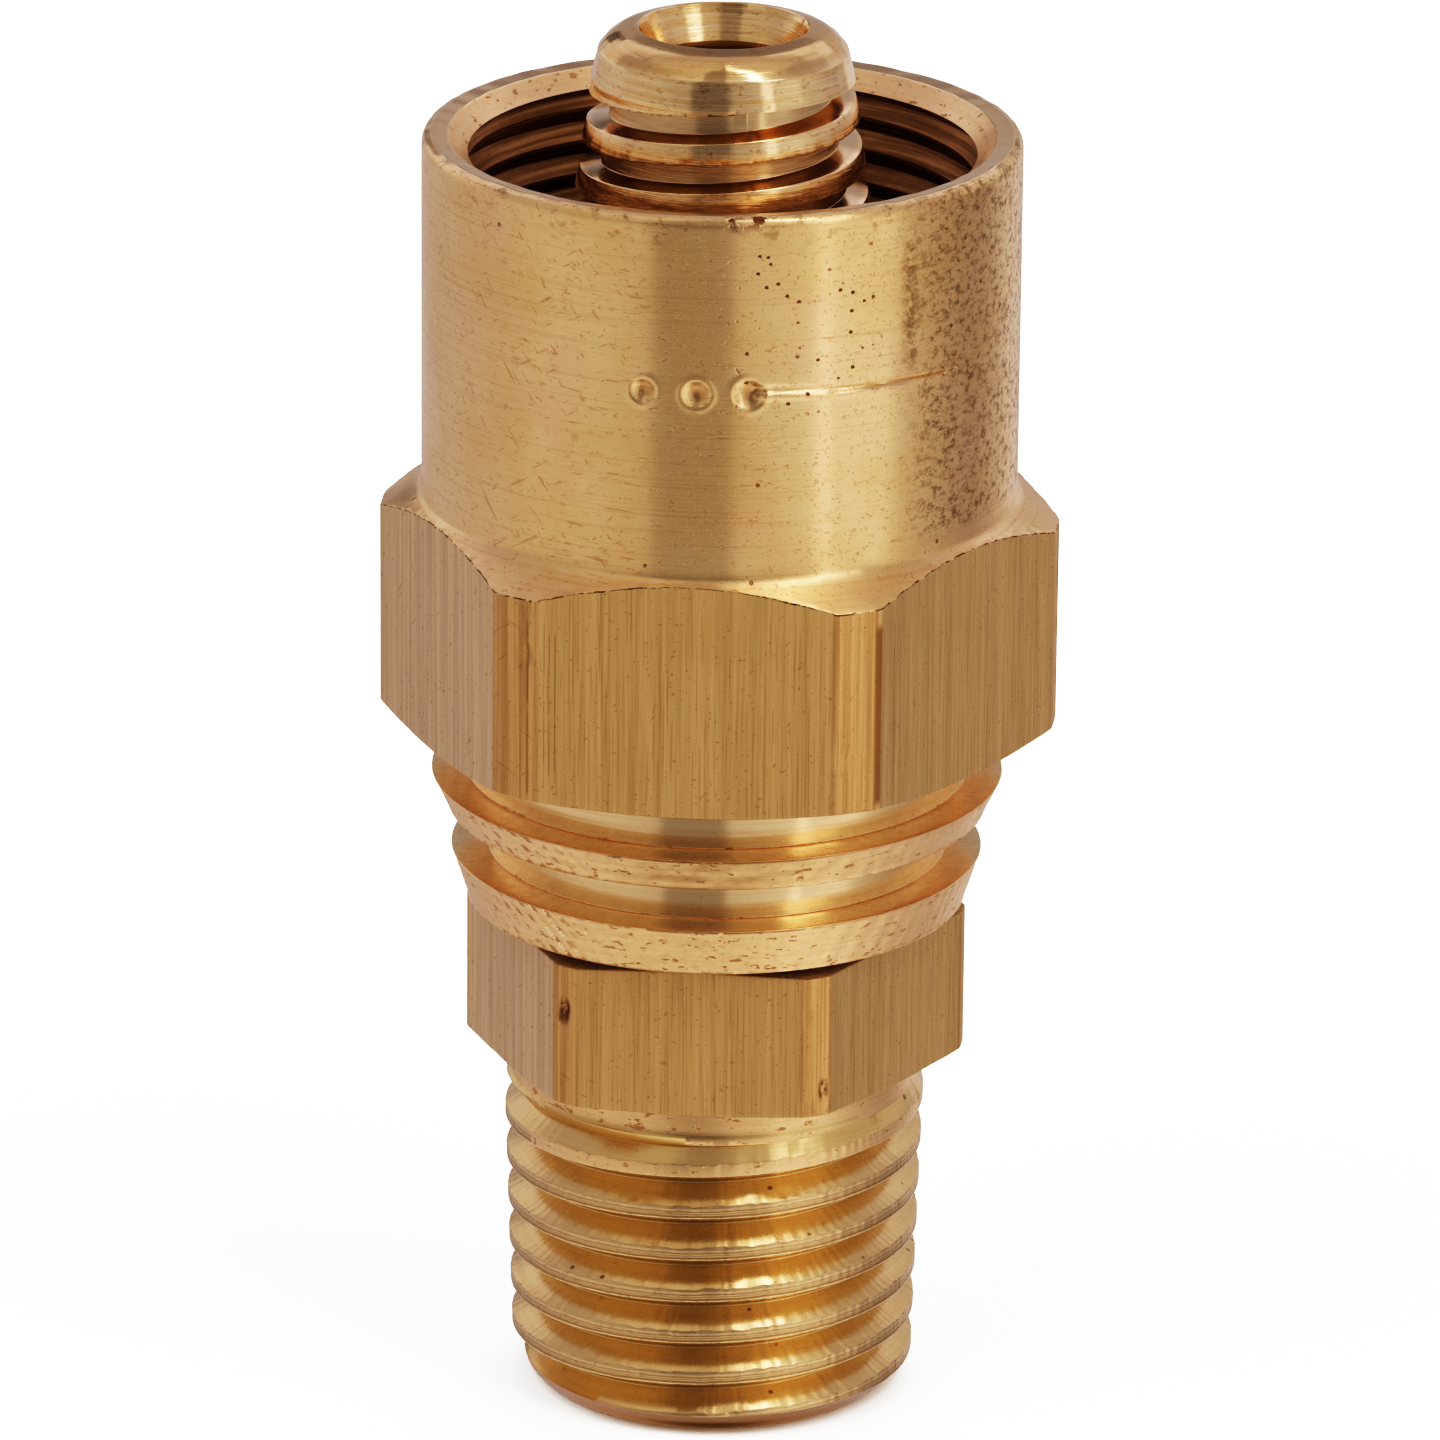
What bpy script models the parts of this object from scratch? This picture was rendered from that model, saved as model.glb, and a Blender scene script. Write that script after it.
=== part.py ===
"""Brass hose end: a taper-threaded insert inside a free-turning ferrule.

The insert is one turned piece: pipe thread, collar, small hexagon, shank and a hose stem with a coarse
thread. The ferrule is the other: a ringed tail, a large hexagon and a sleeve threaded inside to grip the
outside of the hose. The ferrule drops over the stem, rests on the insert's hexagon and turns on the shank.

The origin is the centre of the pipe thread's end face, and +Z runs up the axis to the hose end.
Lengths are in millimetres; MM turns them into metres.
"""
from collections import namedtuple
from math import ceil, cos, floor, pi, radians, sin, sqrt

import bmesh
import bpy

MM = 0.001
SEGMENTS = 36

# Heights of the main shoulders, from the pipe thread's end face.
COLLAR_BASE = 10.2
INSERT_HEX_BASE = 11.1
INSERT_HEX_TOP = 15.85
TAIL_END = 16.1
RING_LOW_TOP = 17.7
RING_HIGH_BASE = 19.1
RING_HIGH_TOP = 20.22
FERRULE_HEX_BASE = 21.7
CHAMBER_FLOOR = 27.5
SLEEVE_BASE = 29.35
SLEEVE_TOP = 40.83
STEM_TOP = 44.2

# Spanner sizes, the radius that each bar's corners are turned to, and the chamfers' heights.
INSERT_ACROSS_FLATS = 14.0
INSERT_CORNER = 7.85
INSERT_LOW_CHAMFER = 0.12
INSERT_TOP_CHAMFER = 0.08
FERRULE_ACROSS_FLATS = 19.0
FERRULE_CORNER = 10.57
FERRULE_LOW_CHAMFER = 0.42
FERRULE_TOP_CHAMFER = 0.8
FERRULE_UNDERSIDE = 9.2

# The bore, the shank and the neck that turns on it.
BORE = 2.14
COUNTERSINK = 2.63
COUNTERSINK_DEPTH = 1.05
SHANK = 5.4
SHANK_TOP = 28.5
NECK = 5.5
NECK_BEVEL = 0.3
COLLAR = 6.33

# The pipe thread, 1/4-18 taper: 1 in 16 on the diameter, its blank a little under size.
PIPE_PITCH = 1.411
PIPE_CREST_AT_END = 6.33
PIPE_TAPER = 1 / 32
PIPE_DEPTH = 0.86
PIPE_CREST_WIDTH = 0.42
PIPE_PHASE = 0.78
PIPE_END = 5.55
PIPE_CHAMFER = 0.75
PIPE_RUN_OUT = 1.0

# The hose stem's thread, which grows from the tip down like a wood screw's.
STEM_PITCH = 1.5
STEM_DEPTH = 0.76
STEM_CREST_AT_TIP = 3.97
STEM_CREST_MAX = 5.2
STEM_GROWTH = 0.135
STEM_LAND_BASE = 42.5
STEM_LAND_TOP = 43.5
STEM_THREAD_BASE = 29.6
STEM_PHASE = 0.83
STEM_DOME = ((3.92, STEM_LAND_TOP), (3.66, 43.78), (3.25, 44.06))

# The sleeve and the thread inside it.
SLEEVE = 9.25
SLEEVE_FILLET = 0.12
LIP_ROUND = 0.3
LIP_INNER = 8.46
CHAMBER_CREST = 7.83
CHAMBER_DEPTH = 0.42
CHAMBER_PITCH = 1.058
CHAMBER_THREAD_BASE = 28.6
CHAMBER_THREAD_TOP = 40.2
CHAMBER_RUN_OUT = 0.8

# Two turned rings and the grooves above them form the ferrule's tail.
RING_HIGH = 8.94
RING_LOW = 8.32
RING_SLOPE = 0.52
GROOVE_HIGH = 7.8
GROOVE_LOW = 7.14

BRASS_TURNED = (0.62, 0.36, 0.13)
BRASS_DRAWN = (0.55, 0.33, 0.12)

# corners holds (place in the pitch, share of the depth) pairs from the bottom of one thread up to the next.
# The radius function gives the crest, the depth function how far the root lies from it: inwards if positive.
Thread = namedtuple("Thread", "low high pitch phase corners radius depth")


def clear_scene():
    for item in list(bpy.data.objects):
        bpy.data.objects.remove(item)


def brass(name, colour, roughness):
    material = bpy.data.materials.new(name)
    material.use_nodes = True
    shader = material.node_tree.nodes["Principled BSDF"]
    shader.inputs["Base Color"].default_value = (*colour, 1)
    shader.inputs["Metallic"].default_value = 1
    shader.inputs["Roughness"].default_value = roughness
    return material


def clamp(value, low, high):
    return min(max(value, low), high)


def point(radius, angle, height):
    return (MM * radius * cos(angle), MM * radius * sin(angle), MM * height)


def ring(bm, radius, height):
    return [bm.verts.new(point(radius, 2 * pi * s / SEGMENTS, height)) for s in range(SEGMENTS)]


def bridge(bm, first, second):
    for s in range(SEGMENTS):
        after = (s + 1) % SEGMENTS
        bm.faces.new((first[s], first[after], second[after], second[s]))


def thread_share(thread, place):
    """The share of the depth at a place in the pitch, 0 on the crest and 1 in the root."""
    loop = [*thread.corners, (1 + thread.corners[0][0], thread.corners[0][1])]
    for (a, share_a), (b, share_b) in zip(loop, loop[1:]):
        if place <= b:
            return share_a + (share_b - share_a) * (place - a) / (b - a)
    return loop[-1][1]


def thread_radius(thread, turn_share, height):
    place = ((height - thread.phase) / thread.pitch - turn_share) % 1
    return thread.radius(height) - thread.depth(height) * thread_share(thread, place)


def thread_skin(bm, thread):
    """A right-hand thread's surface, cut off level at both ends. Returns its lowest and highest rings."""
    verts = {}

    def corner(step, s):
        turn, k = divmod(step, len(thread.corners))
        turn_share = s / SEGMENTS
        height = thread.phase + thread.pitch * (turn + thread.corners[k][0] + turn_share)
        height = clamp(height, thread.low, thread.high)
        key = (s % SEGMENTS, round(height, 5))
        if key not in verts:
            radius = thread_radius(thread, turn_share, height)
            verts[key] = bm.verts.new(point(radius, 2 * pi * turn_share, height))
        return verts[key]

    first = len(thread.corners) * floor((thread.low - thread.phase) / thread.pitch - 1)
    last = len(thread.corners) * ceil((thread.high - thread.phase) / thread.pitch)
    for step in range(first, last):
        for s in range(SEGMENTS):
            loop = (corner(step, s), corner(step, s + 1), corner(step + 1, s + 1), corner(step + 1, s))
            loop = list(dict.fromkeys(loop))
            if len(loop) > 2:
                bm.faces.new(loop)
    return [[verts[s, round(end, 5)] for s in range(SEGMENTS)] for end in (thread.low, thread.high)]


def turned(name, path, material):
    """A closed solid turned about Z. The path goes once round its section, through points and threads."""
    bm = bmesh.new()
    rings = []
    for step in path:
        if isinstance(step, Thread):
            ends = thread_skin(bm, step)
            if rings[-1][0].co.z > ends[1][0].co.z:
                ends.reverse()
            bridge(bm, rings[-1], ends[0])
            rings.append(ends[1])
        else:
            rings.append(ring(bm, *step))
            if len(rings) > 1:
                bridge(bm, rings[-2], rings[-1])
    bridge(bm, rings[-1], rings[0])
    bmesh.ops.recalc_face_normals(bm, faces=bm.faces)
    mesh = bpy.data.meshes.new(name)
    bm.to_mesh(mesh)
    bm.free()
    mesh.shade_smooth()
    mesh.set_sharp_from_angle(angle=radians(30))
    mesh.materials.append(material)
    piece = bpy.data.objects.new(name, mesh)
    bpy.context.collection.objects.link(piece)
    return piece


def mill_flats(piece, across_flats, low, high):
    """Cuts six flats, two of them facing -Y and +Y, between two heights."""
    bm = bmesh.new()
    loops = []
    for radius, height in ((across_flats / sqrt(3), low), (across_flats, low),
                           (across_flats, high), (across_flats / sqrt(3), high)):
        loops.append([bm.verts.new(point(radius, k * pi / 3, height)) for k in range(6)])
    for first, second in zip(loops, loops[1:] + loops[:1]):
        for k in range(6):
            after = (k + 1) % 6
            bm.faces.new((first[k], first[after], second[after], second[k]))
    bmesh.ops.recalc_face_normals(bm, faces=bm.faces)
    mesh = bpy.data.meshes.new(piece.name + "_flats")
    bm.to_mesh(mesh)
    bm.free()
    cutter = bpy.data.objects.new(mesh.name, mesh)
    bpy.context.collection.objects.link(cutter)
    cutter.hide_render = True
    cutter.display_type = "WIRE"
    cut = piece.modifiers.new("flats", "BOOLEAN")
    cut.operation = "DIFFERENCE"
    cut.solver = "EXACT"
    cut.object = cutter


def pipe_thread():
    """A V thread with a wide crest. It fades out under the collar and is cut by the end chamfer."""
    crest = PIPE_CREST_WIDTH / PIPE_PITCH

    def radius(height):
        return PIPE_CREST_AT_END + PIPE_TAPER * height

    def depth(height):
        return PIPE_DEPTH * clamp((COLLAR_BASE - height) / PIPE_RUN_OUT, 0, 1)

    corners = ((0, 0), (crest, 0), (crest + (1 - crest) / 2, 1))
    return Thread(PIPE_CHAMFER, COLLAR_BASE - 0.1, PIPE_PITCH, PIPE_PHASE, corners, radius, depth)


def stem_thread():
    """A square-edged thread with a flat underside, so that the hose can't slip back over it."""
    def radius(height):
        return min(STEM_CREST_AT_TIP + STEM_GROWTH * (STEM_LAND_BASE - height), STEM_CREST_MAX)

    def depth(height):
        return STEM_DEPTH * clamp((height - STEM_THREAD_BASE) / STEM_PITCH, 0, 1)

    corners = ((0, 0), (0.43, 0.08), (0.51, 1), (0.97, 1))
    return Thread(STEM_THREAD_BASE, STEM_LAND_BASE, STEM_PITCH, STEM_PHASE, corners, radius, depth)


def chamber_thread():
    """The fine thread inside the sleeve, which bites into the outside of the hose."""
    def radius(height):
        return CHAMBER_CREST

    def depth(height):
        return -CHAMBER_DEPTH * clamp((height - CHAMBER_THREAD_BASE) / CHAMBER_RUN_OUT, 0, 1)

    corners = ((0, 0), (0.12, 0), (0.56, 1))
    return Thread(CHAMBER_THREAD_BASE, CHAMBER_THREAD_TOP, CHAMBER_PITCH, 0, corners, radius, depth)


def insert_path():
    corner_inner = INSERT_ACROSS_FLATS / 2 - 0.05
    return (
        (BORE, COUNTERSINK_DEPTH / 2),
        (BORE + COUNTERSINK_DEPTH / 3, 0),
        (PIPE_END, 0),
        pipe_thread(),
        (COLLAR, COLLAR_BASE),
        (COLLAR, INSERT_HEX_BASE),
        (corner_inner, INSERT_HEX_BASE),
        (INSERT_CORNER, INSERT_HEX_BASE + INSERT_LOW_CHAMFER),
        (INSERT_CORNER, INSERT_HEX_TOP - INSERT_TOP_CHAMFER),
        (corner_inner, INSERT_HEX_TOP),
        (SHANK, INSERT_HEX_TOP),
        (SHANK, SHANK_TOP),
        stem_thread(),
        (STEM_CREST_AT_TIP, STEM_LAND_BASE + 0.05),
        *STEM_DOME,
        (COUNTERSINK, STEM_TOP),
        (BORE, STEM_TOP - COUNTERSINK_DEPTH),
    )


def ferrule_path():
    return (
        (NECK, TAIL_END + NECK_BEVEL),
        (NECK + NECK_BEVEL, TAIL_END),
        (RING_LOW - RING_SLOPE, TAIL_END),
        (RING_LOW, RING_LOW_TOP),
        (GROOVE_LOW, RING_LOW_TOP),
        (GROOVE_LOW, RING_HIGH_BASE),
        (RING_HIGH - RING_SLOPE, RING_HIGH_BASE),
        (RING_HIGH, RING_HIGH_TOP),
        (GROOVE_HIGH, RING_HIGH_TOP),
        (GROOVE_HIGH, FERRULE_HEX_BASE),
        (FERRULE_UNDERSIDE, FERRULE_HEX_BASE),
        (FERRULE_CORNER, FERRULE_HEX_BASE + FERRULE_LOW_CHAMFER),
        (FERRULE_CORNER, SLEEVE_BASE - FERRULE_TOP_CHAMFER),
        (SLEEVE + SLEEVE_FILLET, SLEEVE_BASE - SLEEVE_FILLET / 2),
        (SLEEVE, SLEEVE_BASE + SLEEVE_FILLET),
        (SLEEVE, SLEEVE_TOP - LIP_ROUND),
        (SLEEVE - 0.3 * LIP_ROUND, SLEEVE_TOP - 0.3 * LIP_ROUND),
        (SLEEVE - LIP_ROUND, SLEEVE_TOP),
        (LIP_INNER, SLEEVE_TOP),
        (CHAMBER_CREST, CHAMBER_THREAD_TOP + 0.02),
        chamber_thread(),
        (CHAMBER_CREST, CHAMBER_FLOOR),
        (NECK + NECK_BEVEL, CHAMBER_FLOOR),
        (NECK, CHAMBER_FLOOR - NECK_BEVEL),
    )


def build():
    clear_scene()
    insert = turned("insert", insert_path(), brass("drawn_brass", BRASS_DRAWN, 0.3))
    mill_flats(insert, INSERT_ACROSS_FLATS, INSERT_HEX_BASE - 0.1, INSERT_HEX_TOP + 0.1)
    ferrule = turned("ferrule", ferrule_path(), brass("turned_brass", BRASS_TURNED, 0.25))
    mill_flats(ferrule, FERRULE_ACROSS_FLATS, FERRULE_HEX_BASE - 0.1, SLEEVE_BASE + 0.3)


build()
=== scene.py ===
"""The brass hose end's looks: fine turned and threaded meshes for its two pieces, brass, light and camera.

Lengths are in millimetres unless a name says otherwise, and MM turns them into metres.
"""
from collections import namedtuple
from functools import reduce
from itertools import product
from math import ceil, cos, floor, pi, radians, sin

import bmesh
import bpy
import numpy as np
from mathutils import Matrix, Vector

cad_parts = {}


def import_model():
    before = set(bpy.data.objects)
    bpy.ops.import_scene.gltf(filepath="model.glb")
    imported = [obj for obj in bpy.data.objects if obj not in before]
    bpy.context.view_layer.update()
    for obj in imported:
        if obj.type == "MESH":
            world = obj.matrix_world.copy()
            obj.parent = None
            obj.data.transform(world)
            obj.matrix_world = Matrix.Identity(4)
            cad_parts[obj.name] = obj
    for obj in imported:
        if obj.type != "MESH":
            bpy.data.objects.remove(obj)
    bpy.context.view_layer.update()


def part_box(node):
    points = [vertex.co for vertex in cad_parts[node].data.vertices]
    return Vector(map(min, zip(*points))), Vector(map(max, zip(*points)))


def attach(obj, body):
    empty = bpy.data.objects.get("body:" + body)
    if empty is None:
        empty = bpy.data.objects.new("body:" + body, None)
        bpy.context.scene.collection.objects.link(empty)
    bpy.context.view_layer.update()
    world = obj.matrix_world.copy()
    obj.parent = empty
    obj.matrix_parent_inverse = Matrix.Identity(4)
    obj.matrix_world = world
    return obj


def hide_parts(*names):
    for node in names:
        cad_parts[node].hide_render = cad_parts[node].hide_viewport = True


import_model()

MM = 0.001
COLUMNS = 720
ANGLES = np.arange(COLUMNS) * 2 * pi / COLUMNS

# From the frame: the two pieces' extents give the ends, the spanner sizes and the turned corners.
_, INSERT_HIGH = (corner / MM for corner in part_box("insert"))
FERRULE_LOW, FERRULE_HIGH = (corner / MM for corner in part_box("ferrule"))
INSERT_CORNER, INSERT_HALF_FLATS = INSERT_HIGH.x, INSERT_HIGH.y
FERRULE_CORNER, FERRULE_HALF_FLATS = FERRULE_HIGH.x, FERRULE_HIGH.y
STEM_TOP = INSERT_HIGH.z
TAIL_END = FERRULE_LOW.z
SLEEVE_TOP = FERRULE_HIGH.z

# Heights of the other shoulders, as in the CAD.
COLLAR_BASE = 10.2
INSERT_HEX_BASE = 11.1
INSERT_HEX_TOP = 15.85
RING_LOW_TOP = 17.7
RING_HIGH_BASE = 19.1
RING_HIGH_TOP = 20.22
FERRULE_HEX_BASE = 21.7
CHAMBER_FLOOR = 27.5
CHAMBER_THREAD_BASE = 28.6
CHAMBER_THREAD_TOP = 40.2
SLEEVE_BASE = 29.35
STEM_THREAD_BASE = 29.6

# Each piece's outline starts and ends on its inside wall, at these heights.
OUTLINE_START, OUTLINE_END = 20.0, 20.3

# The direction that the camera looks from, and the same as an angle about the object's axis.
VIEW_AZIMUTH = radians(6)
FRONT = VIEW_AZIMUTH - pi / 2

Corner = namedtuple("Corner", "r z soft rows")
Thread = namedtuple("Thread", "low high pitch phase corners radius depth")


def clamp(value, low, high):
    return min(max(value, low), high)


# ---------------------------------------------------------------- turned and threaded meshes

def expand(corners):
    """Rows of (radius, height) per column from corners whose points may differ from column to column.

    soft is how far a corner is rounded off along its edges, and rows how many steps lead up to it.
    """
    points = [np.stack(np.broadcast_arrays(c.r + 0 * ANGLES, c.z + 0 * ANGLES), axis=1) for c in corners]
    path = []
    for k, (corner, here) in enumerate(zip(corners, points)):
        arc = [here]
        if corner.soft and 0 < k < len(corners) - 1:
            ways = []
            for other in (points[k - 1], points[k + 1]):
                length = np.linalg.norm(other - here, axis=1)[:, None]
                ways.append((other - here) / length * np.minimum(corner.soft, 0.45 * length))
            arc = [here + (1 - t) ** 2 * ways[0] + t ** 2 * ways[1] for t in (0, 0.25, 0.5, 0.75, 1)]
        if path:
            last = path[-1]
            path += [last + (arc[0] - last) * s / corner.rows for s in range(1, corner.rows)]
        path += arc
    return path


def share_at(thread, place):
    """How deep a thread is cut, as a share of its depth, at a place from 0 to 1 along its pitch."""
    places, shares = zip(*thread.corners)
    return np.interp(place, (*places, 1 + places[0]), (*shares, shares[0]))


def thread_rows(thread):
    """The rows of a right-hand thread, COLUMNS + 1 points each, running up the helix and cut off level."""
    rows = []
    first = floor((thread.low - thread.phase) / thread.pitch - 1)
    last = ceil((thread.high - thread.phase) / thread.pitch)
    turns = np.arange(COLUMNS + 1) / COLUMNS
    for turn in range(first, last):
        for place, _ in thread.corners:
            height = np.clip(thread.phase + thread.pitch * (turn + place + turns), thread.low, thread.high)
            rows.append(thread_row(thread, turns, height))
    rows.append(thread_row(thread, turns, np.full_like(turns, thread.high)))
    return rows


def thread_row(thread, turns, height):
    """A thread's radii and heights at points given by their turn about the axis and their height."""
    place = ((height - thread.phase) / thread.pitch - turns) % 1
    depth = np.array([thread.depth(h) for h in height])
    radius = np.array([thread.radius(h) for h in height])
    return np.stack((radius - depth * share_at(thread, place), height), axis=1)


def softened(corners, soft):
    """A thread's outline with its corners rounded. Places and shares are both treated as lengths."""
    loop = [corners[-1], *corners, (1 + corners[0][0], corners[0][1])]
    loop[0] = (loop[0][0] - 1, loop[0][1])
    outline = []
    for before, here, after in zip(loop, loop[1:], loop[2:]):
        here = np.array(here, float)
        reach = []
        for other in (before, after):
            way = np.array(other, float) - here
            reach.append(way * min(0.45, soft / np.hypot(*way)))
        for t in (0, 0.5, 1):
            place, share = here + (1 - t) ** 2 * reach[0] + t ** 2 * reach[1]
            outline.append((place, share))
    shift = min(place for place, _ in outline)
    return [(place - shift, share) for place, share in outline], shift


def polar(row, columns):
    angle = 2 * pi * columns / COLUMNS
    return np.stack((row[:, 0] * np.cos(angle), row[:, 0] * np.sin(angle), row[:, 1]), axis=1)


def ring_quads(first, second, count, wrap):
    """Quads between two rows that start at vertex numbers first and second."""
    here = np.arange(count)
    after = (here + 1) % count if wrap else here + 1
    return np.stack((first + here, first + after, second + after, second + here), axis=1)


def section_mesh(name, sections, shape):
    """One closed mesh from sections that follow each other round the turned outline.

    A section is a list of corners, as the first one is, or a Thread. shape(points) wears the finished points.
    """
    verts, quads, start, last = [], [], 0, None
    columns = np.arange(COLUMNS)
    for section in sections:
        threaded = isinstance(section, Thread)
        rows = thread_rows(section) if threaded else expand(section)
        spots = np.arange(COLUMNS + 1) if threaded else columns
        starts = []
        for row in rows:
            verts.append(polar(row, spots))
            starts.append(start)
            start += len(spots)
        for a, b in zip(starts, starts[1:]):
            quads.append(ring_quads(a, b, COLUMNS, not threaded))
        ends = [starts[0], starts[-1]]
        if threaded:
            ends[0] = start
            for height in (section.low, section.high):
                row = thread_row(section, columns / COLUMNS, np.full(COLUMNS, height))
                verts.append(polar(row, columns))
                start += COLUMNS
            ends[1] = start - COLUMNS
            if np.concatenate(verts)[last, 2] > (section.low + section.high) / 2:
                ends.reverse()
        if last is not None:
            quads.append(ring_quads(last, ends[0], COLUMNS, True))
        last = ends[1]
    quads.append(ring_quads(last, 0, COLUMNS, True))
    points = shape(np.concatenate(verts))
    mesh = bpy.data.meshes.new(name)
    mesh.from_pydata((points * MM).tolist(), [], np.concatenate(quads).tolist())
    bm = bmesh.new()
    bm.from_mesh(mesh)
    bmesh.ops.remove_doubles(bm, verts=bm.verts, dist=2e-7)
    bmesh.ops.recalc_face_normals(bm, faces=bm.faces)
    bm.to_mesh(mesh)
    bm.free()
    mesh.shade_smooth()
    mesh.set_sharp_from_angle(angle=radians(45))
    return mesh


def grain(points, scale, seed):
    """Smooth noise from -1 to 1 at each point, with scale in cycles per millimetre."""
    spots = points * scale + 17.3 * seed
    cells = np.floor(spots)
    share = spots - cells
    share = share * share * (3 - 2 * share)
    result = np.zeros(len(points))
    for corner in product((0, 1), repeat=3):
        draw = np.modf(np.sin((cells + corner) @ (12.9898, 78.233, 37.719)) * 43758.5453)[0]
        result += draw * np.prod(np.where(corner, share, 1 - share), axis=1)
    return result


def hump(distance, width):
    """1 at no distance, falling smoothly to 0 at width."""
    return np.clip(1 - (distance / width) ** 2, 0, 1) ** 2


class Skin:
    """The points of a mesh as radius, angle and height, with ways to wear them."""

    def __init__(self, points):
        self.points = points
        self.radius = np.hypot(points[:, 0], points[:, 1])
        self.angle = np.arctan2(points[:, 1], points[:, 0])
        self.height = points[:, 2].copy()
        self.out = np.zeros(len(points))
        self.rise = np.zeros(len(points))

    def around(self, middle):
        """Each point's angle from a middle angle, from -pi to pi."""
        return (self.angle - middle + pi) % (2 * pi) - pi

    def worn(self):
        radius = self.radius + self.out
        x, y = radius * np.cos(self.angle), radius * np.sin(self.angle)
        return np.stack((x, y, self.height + self.rise), axis=1)


def from_flat(angle):
    """The angle from the middle of the nearest flat of a hexagon with flats facing -Y and +Y."""
    return (angle + pi / 2 + pi / 6) % (pi / 3) - pi / 6


def hexagon(half_flats, corner):
    """Each column's radius on a hexagon with flats facing -Y and +Y, its corners turned down to a radius."""
    flat = half_flats / np.cos(from_flat(ANGLES))
    blend = 0.04
    gap = np.clip((corner - flat) / blend, -1, 1)
    return np.where(gap >= 1, flat, np.where(gap <= -1, corner, corner - blend * (gap + 1) ** 2 / 4))


# ---------------------------------------------------------------- the insert

BORE_RADIUS = 2.14
SHANK_RADIUS = 5.4
COLLAR_RADIUS = 6.33

# The pipe thread. PIPE_CREST_WIDTH is a share of the pitch.
PIPE_PITCH = 1.411
PIPE_TAPER = 1 / 32
PIPE_CREST_AT_END = 6.33
PIPE_CREST_WIDTH = 0.3
PIPE_DEPTH = 0.86
PIPE_THREAD_BASE = 0.75

# The stem's thread, and the plain land above it. STEM_CREST_TOP is a share of the pitch.
STEM_PITCH = 1.5
STEM_CREST_TOP = 0.97
STEM_TAPER = 0.14
STEM_DEPTH = 0.73
STEM_BASE_RADIUS = 5.2
LAND_BASE = 42.5
LAND_RADIUS = 4.07

# Knocks in the small hexagon: (degrees from the front, height, reach across, reach up and down, depth),
# and the dirt in them: (first and last degrees, lowest and highest point).
DENTS = ((-36.5, 14.33, 0.3, 0.55, 0.16), (25.7, 12.06, 0.22, 0.5, 0.14))
DENT_DIRT = (((-38.0, -35.2), (13.95, 14.65)), ((24.8, 26.6), (11.75, 12.4)))


def pipe_thread():
    corners, shift = softened(((0, 0), (PIPE_CREST_WIDTH, 0), (0.63, 1), (0.67, 1)), 0.03)

    def radius(height):
        return min(PIPE_CREST_AT_END + PIPE_TAPER * height, COLLAR_RADIUS + COLLAR_BASE - height)

    def depth(height):
        return PIPE_DEPTH * clamp(COLLAR_BASE - height, 0, 1)

    phase = 0.78 + shift * PIPE_PITCH
    return Thread(PIPE_THREAD_BASE, COLLAR_BASE - 0.1, PIPE_PITCH, phase, corners, radius, depth)


def stem_thread():
    corners, shift = softened(((0, 0), (0.43, 0.08), (0.51, 1), (STEM_CREST_TOP, 1)), 0.025)

    def radius(height):
        return min(LAND_RADIUS + STEM_TAPER * (LAND_BASE - height), STEM_BASE_RADIUS)

    def depth(height):
        return STEM_DEPTH * clamp((height - STEM_THREAD_BASE) / STEM_PITCH, 0, 1)

    phase = 0.83 + shift * STEM_PITCH
    return Thread(STEM_THREAD_BASE, LAND_BASE, STEM_PITCH, phase, corners, radius, depth)


def tear_crests(skin, thread, edge, reach, depth):
    """Rough, torn edges along a thread's crest. edge is the place of that edge, as a share of the pitch."""
    turns = skin.angle % (2 * pi) / (2 * pi)
    place = ((skin.height - thread.phase) / thread.pitch - turns) % 1
    crest = np.array([thread.radius(h) for h in skin.height])
    near = hump(np.minimum(abs(place - edge), 1 - abs(place - edge)), reach)
    inside = (skin.height > thread.low + 0.1) & (skin.height < thread.high) & (skin.radius > crest - 0.35)
    near = near * inside
    coarse = grain(skin.points, (3.1, 3.1, 2.4), 1)
    fine = grain(skin.points, (8, 8, 7), 2)
    tears = np.clip(grain(skin.points, (1.1, 1.1, 1), 3) - 0.6, 0, 1)
    skin.out -= near * depth * (0.5 + 0.5 * coarse + 0.5 * fine + 3 * tears)
    skin.rise += near * depth * (0.7 * coarse + 0.9 * fine)
    face = inside & (place < edge)
    skin.out += face * depth * 0.22 * (grain(skin.points, (0.35, 0.35, 11), 4) - 1)


def dent(skin, degrees, height, width, tall, depth):
    """A dent at an angle from the front, width and tall being how far it reaches in millimetres."""
    across = skin.around(FRONT + radians(degrees)) * skin.radius
    skin.out -= depth * hump(np.hypot(across / width, (skin.height - height) / tall), 1)


def roughen_hexagon(skin, low, high, half_flats, corner):
    """Slightly uneven flats, and nicks along their edges."""
    on_side = (skin.height > low + 0.02) & (skin.height < high) & (skin.radius > half_flats - 0.1)
    flats = 0.010 * (grain(skin.points, (1.4, 1.4, 0.1), 5) - 1) + 0.004 * grain(skin.points, (5, 5, 0.3), 6)
    nicks = np.clip(grain(skin.points, (1.3, 1.3, 1.3), 7) - 0.5, 0, 1)
    edge = np.clip((skin.radius - corner + 0.16) / 0.16, 0, 1)
    skin.out += on_side * (flats - nicks * edge * 0.12)


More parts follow.
